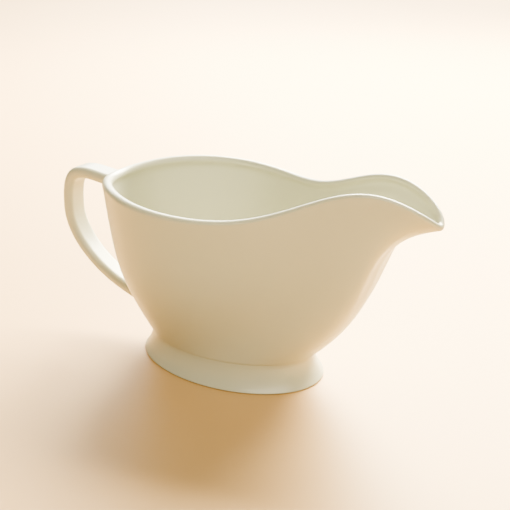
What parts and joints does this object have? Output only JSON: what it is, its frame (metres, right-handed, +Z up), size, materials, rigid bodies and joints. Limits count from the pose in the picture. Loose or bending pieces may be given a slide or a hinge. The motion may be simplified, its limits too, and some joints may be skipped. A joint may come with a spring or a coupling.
{
  "type": "gravy boat",
  "caption": "Glazed white porcelain gravy boat: deep oval bowl drawn out into a pouring spout, rolled lip, flared oval foot and a strap handle.",
  "frame": {"origin": "on the table plane, under the middle of the oval foot", "axes": "+X along the boat from the handle to the spout, +Y across it, +Z up"},
  "size_m": [0.2266, 0.1002, 0.1133],
  "materials": {
    "glazed_porcelain": "glossy warm white glaze",
    "fired_slip": "fired slip under the same glaze"
  },
  "bodies": {
    "root": {"bowl": "glazed_porcelain", "foot": "glazed_porcelain", "handle": "glazed_porcelain", "foot_slip_seam": "fired_slip", "upper_handle_slip_seam": "fired_slip", "lower_handle_slip_seam": "fired_slip"}
  },
  "joints": []
}
